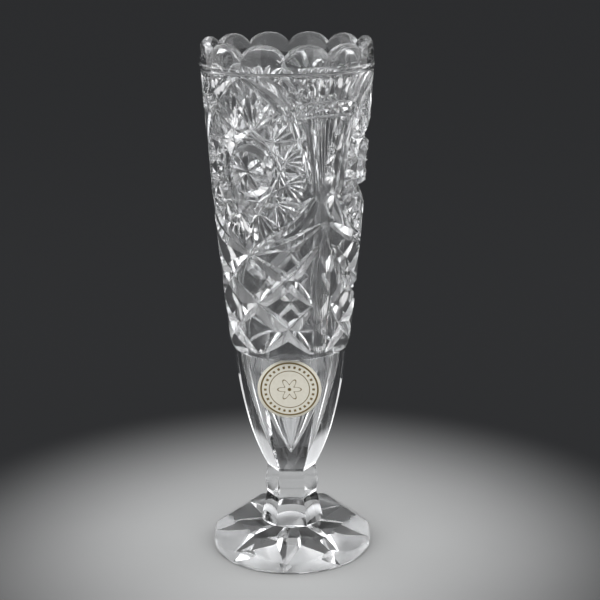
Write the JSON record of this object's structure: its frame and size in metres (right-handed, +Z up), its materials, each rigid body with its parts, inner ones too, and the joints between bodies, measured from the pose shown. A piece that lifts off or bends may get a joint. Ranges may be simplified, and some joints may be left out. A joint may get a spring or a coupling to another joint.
{
  "type": "cut crystal vase",
  "caption": "Tall footed vase of clear cut crystal: scalloped rim, tapering patterned body, six-sided lower bowl and knob, round star-cut foot, and a small round paper label.",
  "frame": {"origin": "centre of the foot's resting face", "axes": "+Z up through the mouth, -Y towards the front, where the label is"},
  "size_m": [0.0678, 0.0678, 0.21],
  "materials": {
    "clear_crystal": "clear lead crystal, bright fire-polished and cut facets",
    "label_paper": "smooth cream paper with two fine metallic gold rings"
  },
  "bodies": {
    "root": {"crystal_vase": "clear_crystal", "round_label": "label_paper"}
  },
  "joints": []
}
